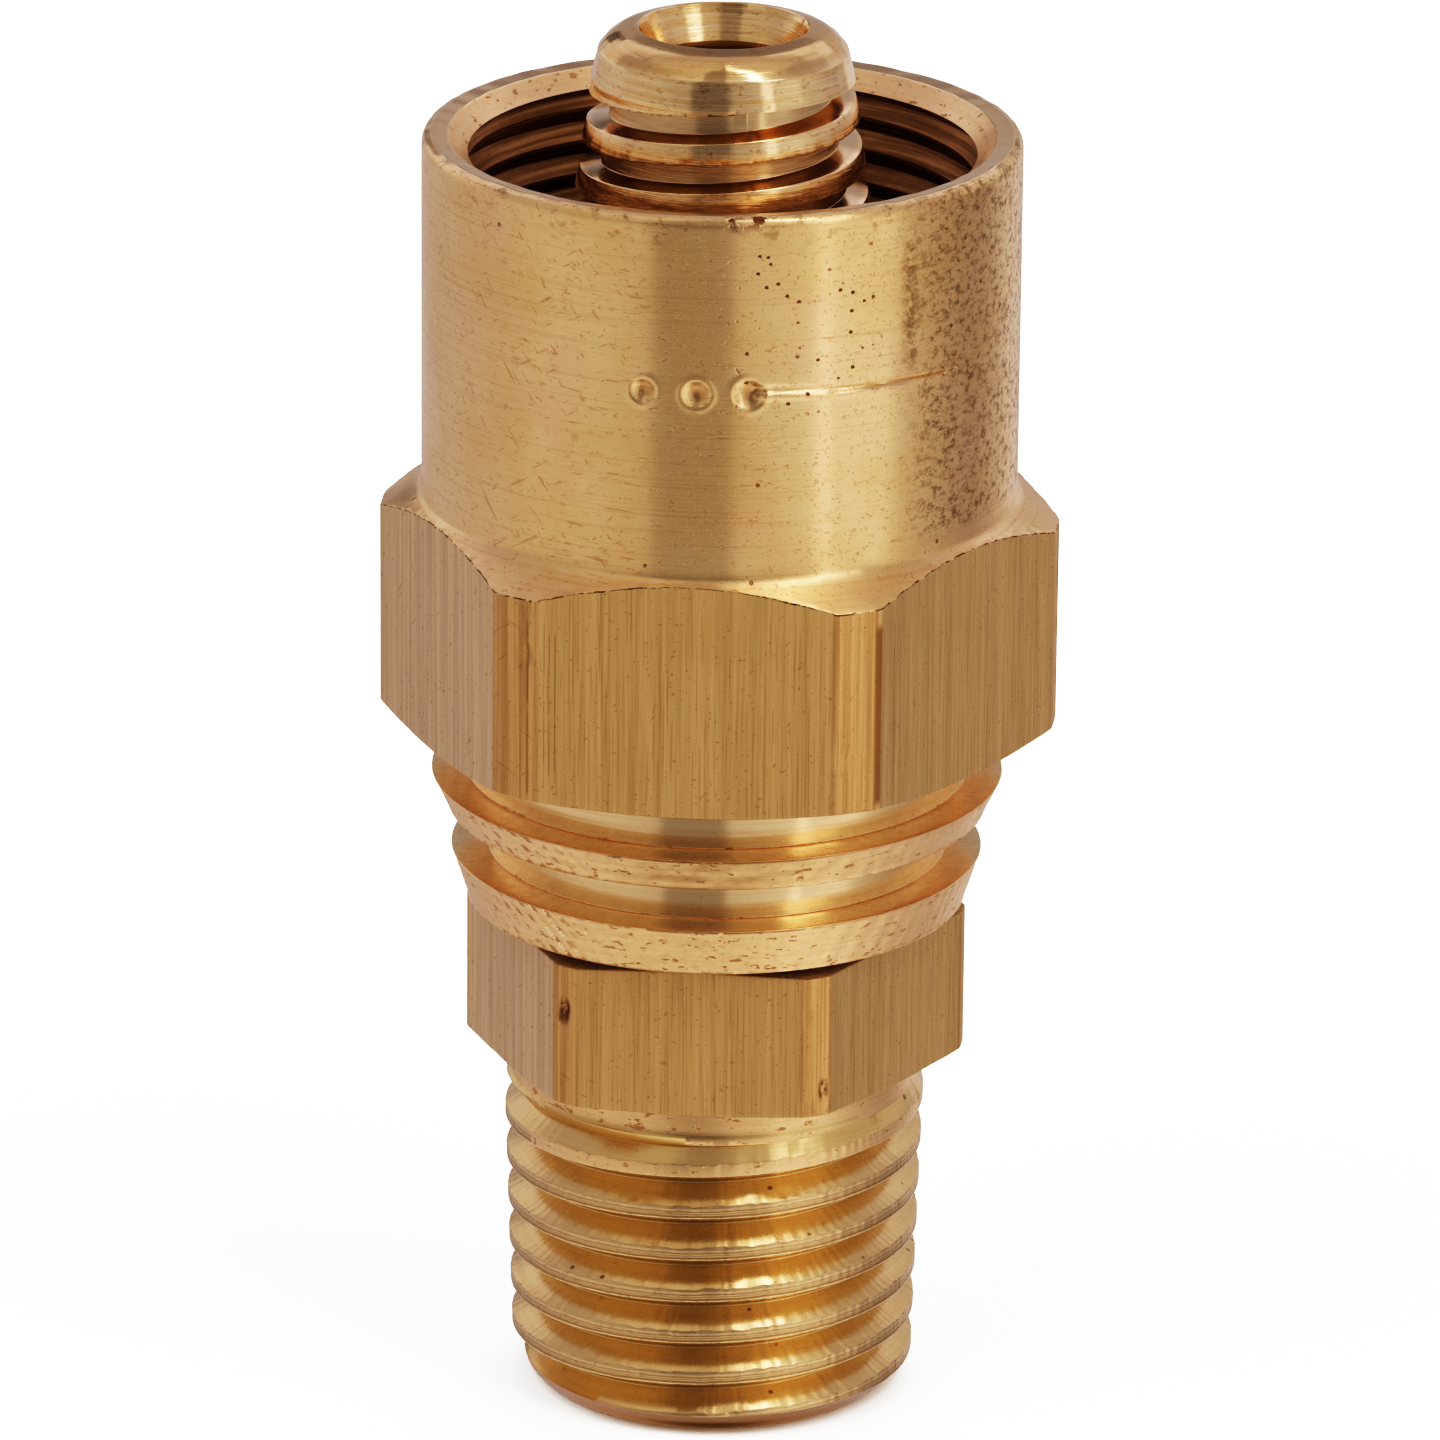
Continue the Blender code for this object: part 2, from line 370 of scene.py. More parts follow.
def insert_shape(points):
    """The insert's wear: torn crests, uneven flats, knocks, and tool lines on the land and the collar."""
    skin = Skin(points)
    tear_crests(skin, pipe_thread(), PIPE_CREST_WIDTH, 0.06, 0.04)
    tear_crests(skin, stem_thread(), STEM_CREST_TOP, 0.08, 0.016)
    roughen_hexagon(skin, INSERT_HEX_BASE, INSERT_HEX_TOP, INSERT_HALF_FLATS, INSERT_CORNER)
    for knock in DENTS:
        dent(skin, *knock)
    land = (skin.height > LAND_BASE - 0.05) & (skin.height < STEM_TOP - 0.02) & (skin.radius > 2.6)
    skin.out += land * 0.012 * (grain(skin.points, (0.3, 0.3, 8), 8) - 1)
    skin.out += land * 0.01 * grain(skin.points, (3, 3, 4), 9)
    collar = (skin.height > COLLAR_BASE - 0.2) & (skin.height < INSERT_HEX_BASE) & (skin.radius > 6)
    skin.out += collar * 0.012 * grain(skin.points, (0.4, 0.4, 9), 10)
    return skin.worn()


def insert_mesh():
    side = hexagon(INSERT_HALF_FLATS, INSERT_CORNER)
    inner = INSERT_HALF_FLATS - 0.05
    low_slope = 0.12 / (INSERT_CORNER - inner)
    top_slope = 0.08 / (INSERT_CORNER - inner)
    sections = (
        [Corner(BORE_RADIUS, OUTLINE_START, 0, 1), Corner(BORE_RADIUS, 0.52, 0, 8), Corner(2.49, 0, 0.03, 2),
         Corner(5.55, 0, 0.08, 4), Corner(5.9, 0.4, 0, 2)],
        pipe_thread(),
        [Corner(COLLAR_RADIUS, COLLAR_BASE, 0.1, 1), Corner(COLLAR_RADIUS, INSERT_HEX_BASE, 0.08, 6),
         Corner(inner, INSERT_HEX_BASE, 0, 2),
         Corner(side, INSERT_HEX_BASE + low_slope * (side - inner), 0.06, 1),
         Corner(side, INSERT_HEX_TOP - top_slope * (side - inner), 0.06, 40),
         Corner(inner, INSERT_HEX_TOP, 0, 3), Corner(SHANK_RADIUS, INSERT_HEX_TOP, 0.05, 2),
         Corner(SHANK_RADIUS, 28.5, 0.05, 10), Corner(STEM_BASE_RADIUS, STEM_THREAD_BASE - 0.05, 0, 3)],
        stem_thread(),
        [Corner(LAND_RADIUS, LAND_BASE + 0.05, 0.05, 1), Corner(3.86, 43.48, 0.05, 6),
         Corner(3.62, 43.78, 0.1, 2), Corner(3.25, 44.06, 0.2, 3), Corner(2.63, STEM_TOP, 0.03, 3),
         Corner(BORE_RADIUS, STEM_TOP - 1.2, 0.1, 6), Corner(BORE_RADIUS, OUTLINE_END, 0, 8)],
    )
    return section_mesh("insert_detail", sections, insert_shape)


# ---------------------------------------------------------------- the ferrule

NECK_RADIUS = 5.5
LOW_GROOVE_RADIUS = 7.14
HIGH_GROOVE_RADIUS = 7.8
SLEEVE_RADIUS = 9.25

# The cone turned on the large hexagon's upper corners: its top radius, its slope, and how low it reaches.
CONE_TOP = 9.37
CONE_SLOPE = 0.74 / (FERRULE_CORNER - CONE_TOP)
CONE_LOW = 28.4

# The thread in the chamber.
CHAMBER_RADIUS = 7.83
CHAMBER_PITCH = 1.058
CHAMBER_DEPTH = 0.42


def chamber_thread():
    corners, shift = softened(((0, 0), (0.12, 0), (0.56, 1)), 0.02)

    def radius(height):
        return CHAMBER_RADIUS

    def depth(height):
        return -CHAMBER_DEPTH * clamp((height - CHAMBER_THREAD_BASE) / 0.8, 0, 1)

    phase = shift * CHAMBER_PITCH
    return Thread(CHAMBER_THREAD_BASE, CHAMBER_THREAD_TOP, CHAMBER_PITCH, phase, corners, radius, depth)


# Punch marks on the sleeve: (degrees from the front, height, radius).
PUNCH_MARKS = ((-14.55, 35.30, 0.40), (-4.51, 35.27, 0.44), (5.37, 35.28, 0.49))

# The ploughed scratch that runs from the last mark: (degrees from the front, height, width).
SCRATCH = ((7.0, 35.36, 0.20), (12, 35.34, 0.20), (16, 35.32, 0.19), (23, 35.22, 0.16), (30.3, 35.21, 0.13),
           (38.3, 35.18, 0.11), (46, 35.12, 0.08), (50.3, 35.18, 0.05))
THIN_SCRATCH = ((27.6, 34.29, 0.06), (38, 34.24, 0.07), (49, 34.21, 0.05))


def punch(skin, degrees, height, size):
    """A round punch mark with a raised lip."""
    across = skin.around(FRONT + radians(degrees)) * skin.radius
    away = np.hypot(across, skin.height - height) / size
    on_sleeve = skin.radius > 9.0
    skin.out += on_sleeve * (0.022 * hump(away - 1.1, 0.35) - 0.15 * np.clip(1 - away ** 2, 0, 1))


def scratch(skin, path, depth):
    """A ploughed line: a groove with its metal pushed up along the lower side."""
    degrees, heights, widths = zip(*path)
    off = np.degrees(skin.around(FRONT))
    above = skin.height - np.interp(off, degrees, heights)
    width = np.interp(off, degrees, widths)
    inside = (skin.radius > 9.0) & (off > degrees[0] - 1) & (off < degrees[-1] + 1)
    pushed_up = 0.8 * hump((above + 0.6 * width) / width, 1)
    skin.out += inside * depth * (pushed_up - hump((above - 0.3 * width) / width, 1))


def chatter(skin):
    """Short slanted tool marks on the two flared rings."""
    for low, high, radius in ((TAIL_END, RING_LOW_TOP, 7.7), (RING_HIGH_BASE, RING_HIGH_TOP, 8.3)):
        on_face = (skin.height > low + 0.05) & (skin.height < high - 0.04) & (skin.radius > radius)
        turning = skin.angle * 90 + (skin.height - low) * 9
        marks = np.clip(np.sin(turning) - 0.1, 0, 1) * hump(skin.around(FRONT - radians(40)), 0.45)
        marks *= np.clip(0.6 + grain(skin.points, (1.2, 1.2, 4), 11), 0, 1)
        skin.out -= on_face * (0.05 * marks + 0.012 * (1 + grain(skin.points, (0.4, 0.4, 7), 12))
                               + 0.015 * (1 + grain(skin.points, (4, 4, 5), 13)))


def ferrule_shape(points):
    """The ferrule's marks and wear, with nothing standing proud of its flats."""
    skin = Skin(points)
    for mark in PUNCH_MARKS:
        punch(skin, *mark)
    scratch(skin, SCRATCH, 0.07)
    scratch(skin, THIN_SCRATCH, 0.015)
    chatter(skin)
    roughen_hexagon(skin, FERRULE_HEX_BASE, SLEEVE_BASE, FERRULE_HALF_FLATS, FERRULE_CORNER)
    burr_edges(skin)
    rim = hump(skin.height - SLEEVE_TOP, 0.28) * (skin.radius > 8.4)
    skin.out += rim * 0.014 * (grain(skin.points, (2.6, 2.6, 3), 14) - 0.6)
    skin.rise -= rim * 0.014 * (1 + grain(skin.points, (1.8, 1.8, 1.8), 15))
    groove = (skin.height < FERRULE_HEX_BASE) & (skin.radius > 6.9) & (skin.radius < HIGH_GROOVE_RADIUS + 0.1)
    skin.out += groove * 0.008 * grain(skin.points, (0.4, 0.4, 9), 16)
    points = skin.worn()
    points[:, 1] = np.clip(points[:, 1], -FERRULE_HALF_FLATS, FERRULE_HALF_FLATS)
    return points


def burr_edges(skin):
    """A thin ragged burr where the turned cone meets the flats."""
    flat = FERRULE_HALF_FLATS / np.cos(from_flat(skin.angle))
    edge = SLEEVE_BASE - 0.06 - CONE_SLOPE * (np.minimum(flat, FERRULE_CORNER) - CONE_TOP)
    near = hump(skin.height - edge, 0.14) * (skin.radius > FERRULE_HALF_FLATS - 0.1)
    near = near * (flat < FERRULE_CORNER - 0.05)
    burr = np.clip(0.35 + grain(skin.points, (3.2, 3.2, 3.2), 17), 0, 1)
    skin.out += near * 0.03 * burr
    skin.rise += near * 0.012 * grain(skin.points, (5, 5, 5), 18)


def ferrule_mesh():
    side = hexagon(FERRULE_HALF_FLATS, FERRULE_CORNER)
    cornering = (side - FERRULE_HALF_FLATS) / (FERRULE_CORNER - FERRULE_HALF_FLATS)
    under = 9.2
    low_slope = 0.42 / (FERRULE_CORNER - under)
    sections = (
        [Corner(NECK_RADIUS, OUTLINE_START, 0, 1), Corner(NECK_RADIUS, TAIL_END + 0.3, 0, 4),
         Corner(5.8, TAIL_END, 0.03, 1), Corner(7.8, TAIL_END, 0.06, 4), Corner(8.32, RING_LOW_TOP, 0.05, 16),
         Corner(LOW_GROOVE_RADIUS, RING_LOW_TOP, 0.05, 4), Corner(LOW_GROOVE_RADIUS, RING_HIGH_BASE, 0.05, 8),
         Corner(8.42, RING_HIGH_BASE, 0.06, 3), Corner(8.94, RING_HIGH_TOP, 0.05, 12),
         Corner(HIGH_GROOVE_RADIUS, RING_HIGH_TOP, 0.05, 4),
         Corner(HIGH_GROOVE_RADIUS, FERRULE_HEX_BASE, 0.05, 8), Corner(under, FERRULE_HEX_BASE, 0.0, 4),
         Corner(side, FERRULE_HEX_BASE + low_slope * (side - under), 0.06, 2),
         Corner(side, SLEEVE_BASE - 0.06 - CONE_SLOPE * (side - CONE_TOP), 0.05, 60),
         Corner(SLEEVE_RADIUS + 0.06, SLEEVE_BASE - 0.01, 0.3, 8),
         Corner(SLEEVE_RADIUS, SLEEVE_BASE + 0.1 + 0.45 * cornering, 0.25, 4),
         Corner(SLEEVE_RADIUS, SLEEVE_TOP - 0.3, 0.1, 150), Corner(9.16, SLEEVE_TOP - 0.09, 0.08, 2),
         Corner(8.95, SLEEVE_TOP, 0.06, 2), Corner(8.46, SLEEVE_TOP - 0.07, 0.04, 4),
         Corner(CHAMBER_RADIUS, CHAMBER_THREAD_TOP + 0.02, 0, 5)],
        chamber_thread(),
        [Corner(CHAMBER_RADIUS, CHAMBER_THREAD_BASE - 0.1, 0, 1),
         Corner(CHAMBER_RADIUS, CHAMBER_FLOOR, 0.05, 3), Corner(5.8, CHAMBER_FLOOR, 0.03, 3),
         Corner(NECK_RADIUS, CHAMBER_FLOOR - 0.3, 0, 1), Corner(NECK_RADIUS, OUTLINE_END, 0, 4)],
    )
    return section_mesh("ferrule_detail", sections, ferrule_shape)


# ---------------------------------------------------------------- node building

class Nodes:
    """A node tree with short ways to add maths, noise and colour ramps to it."""

    def __init__(self, tree):
        self.tree = tree

    def add(self, kind, *values, **settings):
        node = self.tree.nodes.new("ShaderNode" + kind)
        for key, value in settings.items():
            setattr(node, key, value)
        for socket, value in zip(node.inputs, values):
            self.feed(socket, value)
        return node

    def feed(self, socket, value):
        if isinstance(value, bpy.types.NodeSocket):
            self.tree.links.new(value, socket)
        elif value is not None:
            socket.default_value = value

    def math(self, operation, *values, limit=False):
        return self.add("Math", *values, operation=operation, use_clamp=limit).outputs[0]

    def times(self, first, second):
        return self.math("MULTIPLY", first, second)

    def larger(self, first, second):
        return self.math("MAXIMUM", first, second)

    def between(self, value, low, high):
        """0 below low and 1 above high, or the other way round where low is the larger."""
        node = self.add("MapRange", value, low, high, 0, 1, interpolation_type="SMOOTHSTEP")
        return node.outputs[0]

    def mix(self, share, first, second):
        node = self.add("Mix", data_type="RGBA")
        for socket, value in zip((node.inputs[0], node.inputs[6], node.inputs[7]), (share, first, second)):
            self.feed(socket, value)
        return node.outputs[2]

    def tint(self, colour, share, weight, other):
        """The colour moved towards another one, by a share times a weight."""
        return self.mix(self.times(share, weight), colour, other)

    def ramp(self, value, stops):
        """A colour ramp. A stop is (place, grey) or (place, (red, green, blue))."""
        node = self.add("ValToRGB", value)
        elements = node.color_ramp.elements
        elements.remove(elements[1])
        for k, (place, colour) in enumerate(stops):
            stop = elements[0] if k == 0 else elements.new(place)
            stop.position = place
            stop.color = (*colour, 1) if isinstance(colour, tuple) else (colour, colour, colour, 1)
        return node.outputs["Color"]

    def stretched(self, place, scale):
        return self.add("VectorMath", place, scale, operation="MULTIPLY").outputs[0]

    def noise(self, place, scale, detail=2.0, rough=0.5):
        """Noise from about 0.3 to 0.7. scale is in cycles per millimetre along x, y and z."""
        where = self.stretched(place, scale)
        return self.add("TexNoise", where, None, 1.0, detail, rough).outputs[0]


# ---------------------------------------------------------------- materials

BRASS_PALE = (0.94, 0.70, 0.43, 1)
BRASS_WARM = (0.89, 0.635, 0.36, 1)
THREAD_PALE = (0.82, 0.615, 0.345, 1)
THREAD_WARM = (0.78, 0.57, 0.305, 1)
ROSE = (0.91, 0.61, 0.41, 1)
STEM_PALE = (0.96, 0.74, 0.50, 1)
BROWN = (0.50, 0.27, 0.12, 1)
STAIN = (0.26, 0.165, 0.08, 1)
OLIVE = (0.74, 0.55, 0.29, 1)
BRONZE = (0.82, 0.60, 0.34, 1)
FLAT_PALE = (0.93, 0.71, 0.45, 1)
TAN = (0.90, 0.63, 0.37, 1)
TAN_PALE = (0.94, 0.68, 0.42, 1)
GROOVE = (0.95, 0.74, 0.50, 1)
GROOVE_WARM = (0.90, 0.67, 0.42, 1)
MAUVE = (0.92, 0.74, 0.55, 1)
MAUVE_DARK = (0.68, 0.54, 0.40, 1)
SHADED = (0.50, 0.43, 0.32, 1)
SEAM = (0.34, 0.18, 0.07, 1)
BURR_LINE_DARK = (0.22, 0.11, 0.04, 1)
LEDGE = (0.94, 0.74, 0.48, 1)
LEDGE_DARK = (0.86, 0.66, 0.39, 1)
RUST = (0.26, 0.10, 0.05, 1)
CORNER_BROWN = (0.60, 0.38, 0.19, 1)
CORNER_PALE = (0.84, 0.60, 0.34, 1)
CREST_DARK = (0.44, 0.28, 0.13, 1)
CREST_PALE = (0.96, 0.74, 0.48, 1)
END_SHADE = (0.52, 0.24, 0.05, 1)
VALLEY_SHADE = (0.66, 0.50, 0.33, 1)
DOME_GOLD = (0.62, 0.40, 0.17, 1)
BORE_SHADE_DARK = (0.30, 0.15, 0.065, 1)
BORE_SHADE_PALE = (0.62, 0.38, 0.19, 1)


def brass(name, roughness, anisotropy, looks):
    """A brass. looks(nodes, place) gives its colour, change in roughness and height in millimetres."""
    material = bpy.data.materials.new(name)
    material.use_nodes = True
    nodes = Nodes(material.node_tree)
    shader = material.node_tree.nodes["Principled BSDF"]
    shader.inputs["Metallic"].default_value = 1
    shader.inputs["Anisotropic"].default_value = anisotropy
    shader.inputs["Anisotropic Rotation"].default_value = 0.25
    place = nodes.stretched(nodes.add("TexCoord").outputs["Object"], (1 / MM, 1 / MM, 1 / MM))
    colour, rougher, height = looks(nodes, place)
    nodes.feed(shader.inputs["Base Color"], colour)
    nodes.feed(shader.inputs["Roughness"], nodes.math("ADD", rougher, roughness, limit=True))
    bump = nodes.add("Bump", 1.0, MM)
    nodes.feed(bump.inputs["Height"], height)
    nodes.feed(shader.inputs["Normal"], bump.outputs[0])
    return material


def total(nodes, *shares):
    """The sum of (value, weight) pairs."""
    result = 0.0
    for value, weight in shares:
        result = nodes.math("MULTIPLY_ADD", value, weight, result)
    return result


def round_axis(nodes, place):
    """The angle from the front, the distance from the axis and the height."""
    x, y, z = nodes.add("SeparateXYZ", place).outputs
    across, ahead = (nodes.math("MULTIPLY_ADD", x, cos(way), nodes.times(y, sin(way)))
                     for way in (FRONT + pi / 2, FRONT))
    turn = nodes.math("ARCTAN2", across, ahead)
    radius = nodes.math("SQRT", nodes.math("MULTIPLY_ADD", x, x, nodes.times(y, y)))
    return turn, radius, z


def patch(nodes, turn, height, degrees, heights, soft=3):
    """1 inside a patch given by its first and last angle from the front and its heights."""
    sides = [nodes.between(turn, radians(degrees[0] - soft), radians(degrees[0] + soft)),
             nodes.between(turn, radians(degrees[1] + soft), radians(degrees[1] - soft)),
             nodes.between(height, heights[0] - 0.2, heights[0] + 0.2),
             nodes.between(height, heights[1] + 0.2, heights[1] - 0.2)]
    return reduce(nodes.times, sides)


def pits(nodes, place, density, size, chance):
    """Small round pits, with a chance for each cell to hold one."""
    cells = nodes.add("TexVoronoi", nodes.stretched(place, (density, density, density)), None, 1.0)
    draw = nodes.add("SeparateColor", cells.outputs["Color"]).outputs[0]
    lucky = nodes.between(draw, 1 - chance, 1 - chance + 0.01)
    return nodes.times(nodes.between(cells.outputs["Distance"], size, 0.5 * size), lucky)


def dashes(nodes, place, angle, low=0.70):
    """Thin straight scratches in scattered places, tilted by an angle from the object's axis."""
    tilt = (angle, angle, 0.0)
    turned = nodes.add("VectorRotate", place, None, None, None, tilt, rotation_type="EULER_XYZ").outputs[0]
    return nodes.between(nodes.noise(turned, (9, 9, 0.7), 1), low, low + 0.03)


def punch_shade(nodes, turn, z):
    """1 in the punch marks, set a little up and to the right: painted shade on the marks' shaded side."""
    share = 0.0
    for degrees, height, size in PUNCH_MARKS:
        across = nodes.times(nodes.math("SUBTRACT", turn, radians(degrees + 0.6)), SLEEVE_RADIUS)
        rise = nodes.math("SUBTRACT", z, height + 0.1)
        away = nodes.math("ADD", nodes.times(across, across), nodes.times(rise, rise))
        share = nodes.larger(share, nodes.between(away, (0.85 * size) ** 2, (0.4 * size) ** 2))
    return share


def turned_looks(nodes, place):
    """The sleeve: fine turning rings, short scratches, a mottled stain on one side, and pits."""
    turn, _, z = round_axis(nodes, place)
    rings = nodes.noise(place, (0.12, 0.12, 12), 3, 0.6)
    fine = nodes.noise(place, (3, 3, 6), 4, 0.65)
    cloud = nodes.noise(place, (0.3, 0.3, 0.22), 4, 0.6)
    rosy = nodes.noise(place, (0.55, 0.55, 0.4), 3)
    marks = nodes.between(nodes.noise(place, (1.5, 1.5, 9), 2, 0.6), 0.66, 0.72)
    colour = nodes.mix(nodes.between(cloud, 0.36, 0.64), BRASS_PALE, BRASS_WARM)
    colour = nodes.tint(colour, nodes.between(rosy, 0.5, 0.7), 0.4, ROSE)
    colour = nodes.tint(colour, nodes.between(rings, 0.5, 0.72), 0.22, BROWN)
    dirty = nodes.math("MULTIPLY_ADD", nodes.between(z, SLEEVE_BASE - 0.1, SLEEVE_BASE + 0.6), 0.22, 0.12)
    colour = nodes.tint(colour, nodes.between(fine, 0.56, 0.74), dirty, BROWN)
    colour = nodes.tint(colour, marks, dirty, BROWN)
    stained = patch(nodes, turn, z, (40, 92), (30, 42), 7)
    speckle = nodes.noise(place, (3.4, 3.4, 4.6), 5, 0.8)
    stain = nodes.times(nodes.between(speckle, 0.46, 0.64), stained)
    colour = nodes.tint(colour, stain, 0.72, STAIN)
    smudge = nodes.times(nodes.between(speckle, 0.38, 0.6),
                         patch(nodes, turn, z, (36.6, 39.6), (35.7, 39.6), 1.2))
    colour = nodes.tint(colour, smudge, 0.6, STAIN)
    # Painted shade in the punch marks, on their upper right side.
    colour = nodes.tint(colour, punch_shade(nodes, turn, z), 0.55, BROWN)
    hair = nodes.larger(dashes(nodes, place, 0.5), dashes(nodes, place, -0.8))
    hair = nodes.larger(hair, dashes(nodes, place, 1.3))
    colour = nodes.tint(colour, hair, 0.4, BROWN)
    rim = nodes.between(z, SLEEVE_TOP - 1.4, SLEEVE_TOP)
    blotches = nodes.noise(place, (1.6, 1.6, 2.2), 4, 0.7)
    grime = nodes.times(nodes.between(blotches, 0.54, 0.68), rim)
    colour = nodes.tint(colour, grime, 0.6, STAIN)
    pitted = nodes.times(pits(nodes, place, 3.3, 0.24, 0.4), patch(nodes, turn, z, (3, 31), (34.6, 39.8)))
    spots = nodes.times(nodes.between(nodes.noise(place, (1.7, 1.7, 2.6), 3, 0.6), 0.49, 0.56),
                        patch(nodes, turn, z, (-1, 10), (40.55, 40.95), 1))
    dark = nodes.larger(pitted, spots)
    few = pits(nodes, place, 0.9, 0.09, 0.5)
    rusty = nodes.larger(nodes.times(dark, 0.9), nodes.times(few, 0.7))
    colour = nodes.mix(rusty, colour, RUST)
    cone = nodes.between(z, SLEEVE_BASE + 0.1, SLEEVE_BASE - 0.1)
    rougher = total(nodes, (fine, 0.2), (cloud, 0.12), (stain, 0.2), (dark, 0.3), (cone, 0.08), (-0.16, 1.0))
    height = total(nodes, (rings, 0.0024), (fine, 0.0003), (marks, -0.002), (dark, -0.03), (few, -0.01),
                   (hair, -0.004))
    return colour, rougher, height


# Dark lines down the large hexagon's flats: (degrees from the front, width in degrees).
SEAMS = ((-33.2, 0.3), (-30.4, 0.08), (-29.6, 0.08), (-28.7, 0.1), (31.5, 0.1))


def drawn_looks(nodes, place):
    """The hexagons: dull streaked flats, a painted cool sheen on the left flats and painted shade on the
    right ones, with browner corners and a few dark seams.
    """
    turn, radius, z = round_axis(nodes, place)
    broad = nodes.noise(place, (1.3, 1.3, 0.03), 3, 0.6)
    streaks = nodes.noise(place, (9, 9, 0.12), 4, 0.7)
    hair = nodes.noise(place, (18, 18, 0.35), 2)
    gritty = nodes.noise(place, (5, 5, 5), 3, 0.7)
    cloud = nodes.noise(place, (0.5, 0.5, 0.4), 3)
    colour = nodes.mix(nodes.between(broad, 0.30, 0.66), OLIVE, BRONZE)
    colour = nodes.tint(colour, nodes.between(streaks, 0.42, 0.72), 0.6, FLAT_PALE)
    colour = nodes.tint(colour, nodes.between(streaks, 0.48, 0.34), 0.22, BROWN)
    colour = nodes.tint(colour, nodes.between(hair, 0.56, 0.7), 0.4, BROWN)
    colour = nodes.tint(colour, nodes.between(cloud, 0.5, 0.7), 0.3, OLIVE)
    # Painted reflection: a cool grey-mauve sheen on the left flats, as from a bluish light at the left rear.
    left = nodes.times(nodes.between(turn, radians(-38), radians(-42)),
                       nodes.between(turn, radians(-170), radians(-150)))
    drawn = nodes.between(nodes.noise(place, (4.5, 4.5, 0.06), 5, 0.75), 0.3, 0.7)
    colour = nodes.tint(colour, left, 0.8, nodes.mix(drawn, MAUVE, MAUVE_DARK))
    large = nodes.between(radius, FERRULE_CORNER - 0.11, FERRULE_CORNER - 0.03)
    small = nodes.times(nodes.between(radius, INSERT_CORNER - 0.11, INSERT_CORNER - 0.04),
                        nodes.between(radius, 8.6, 8.4))
    lines = nodes.between(nodes.noise(place, (6, 6, 0.05), 4, 0.7), 0.36, 0.62)
    worn = nodes.mix(lines, CORNER_BROWN, CORNER_PALE)
    colour = nodes.tint(colour, nodes.larger(large, small), 0.8, worn)
    right = nodes.times(nodes.between(turn, radians(27), radians(28.5)),
                        nodes.between(turn, radians(130), radians(90)))
    colour = nodes.tint(colour, right, 0.2, SHADED)
    scratched = nodes.larger(dashes(nodes, place, 0.9, 0.71), dashes(nodes, place, -0.6, 0.71))
    colour = nodes.tint(colour, scratched, 0.45, BROWN)
    seams = 0.0
    for degrees, width in SEAMS:
        line = patch(nodes, turn, z, (degrees - width / 2, degrees + width / 2), (22.2, 27.9), width)
        seams = nodes.larger(seams, line)
    seams = nodes.times(seams, nodes.between(radius, 9.6, 9.8))
    seams = nodes.times(seams, nodes.between(nodes.noise(place, (1, 1, 0.8), 3), 0.36, 0.5))
    colour = nodes.tint(colour, seams, 0.85, SEAM)
    edge = patch(nodes, turn, z, (27.0, 28.2), (22.3, 28.0), 0.35)
    edge = nodes.times(edge, nodes.between(radius, 9.6, 9.8))
    colour = nodes.tint(colour, edge, 0.75, SEAM)
    specks = nodes.between(gritty, 0.69, 0.76)
    colour = nodes.tint(colour, specks, 0.8, STAIN)
    dirt = nodes.larger(*(patch(nodes, turn, z, *spot, 0.6) for spot in DENT_DIRT))
    dirt = nodes.times(dirt, nodes.between(nodes.noise(place, (3.5, 3.5, 2), 4, 0.7), 0.42, 0.54))
    colour = nodes.tint(colour, dirt, 0.85, RUST)
    rougher = total(nodes, (streaks, 0.25), (gritty, 0.15), (-0.2, 1.0))
    height = total(nodes, (streaks, 0.004), (hair, 0.002), (gritty, 0.002))
    return colour, rougher, height


def ring_looks(nodes, place):
    """The two flared rings, the collar and the lip's slope: tan, pitted, with chatter marks on one side."""
    turn, _, z = round_axis(nodes, place)
    rings = nodes.noise(place, (0.15, 0.15, 10), 3)
    dashed = nodes.noise(place, (2.2, 2.2, 5.5), 2, 0.6)
    fine = nodes.noise(place, (5, 5, 7), 3, 0.7)
    colour = nodes.mix(nodes.between(rings, 0.35, 0.65), TAN, TAN_PALE)
    slant = nodes.math("SINE", nodes.math("MULTIPLY_ADD", turn, 100.0, nodes.times(z, 9.0)))
    rows = nodes.math("SINE", nodes.math("MULTIPLY_ADD", z, 15.0, nodes.times(turn, 14.0)))
    chatter_marks = nodes.times(nodes.between(slant, 0.25, 0.6), nodes.between(rows, 0.0, 0.5))
    where = nodes.times(patch(nodes, turn, z, (-60, -34), (15, 21), 5),
                        nodes.between(nodes.noise(place, (0.9, 0.9, 1.2), 2), 0.40, 0.52))
    chatter_marks = nodes.times(chatter_marks, where)
    dark = nodes.larger(chatter_marks, nodes.between(dashed, 0.62, 0.7))
    colour = nodes.tint(colour, dark, 0.6, BROWN)
    colour = nodes.tint(colour, nodes.between(fine, 0.58, 0.72), 0.35, BROWN)
    rougher = total(nodes, (fine, 0.3), (dark, 0.15), (-0.15, 1.0))
    height = total(nodes, (rings, 0.003), (dark, -0.02), (fine, 0.003))
    return colour, rougher, height


def ledge_looks(nodes, place):
    """The rings' upper faces: golden brown."""
    fine = nodes.noise(place, (3, 3, 5), 3, 0.7)
    colour = nodes.mix(nodes.between(fine, 0.4, 0.65), LEDGE, LEDGE_DARK)
    return colour, total(nodes, (fine, 0.1), (-0.05, 1.0)), total(nodes, (fine, 0.0004))


def burr_line_looks(nodes, place):
    """The burred line between the turned cone and the flats: dark, with bright specks."""
    specks = nodes.noise(place, (4, 4, 4), 3, 0.7)
    colour = nodes.mix(nodes.between(specks, 0.46, 0.6), BURR_LINE_DARK, BRASS_PALE)
    return colour, total(nodes, (specks, 0.2), (-0.1, 1.0)), total(nodes, (specks, 0.01))


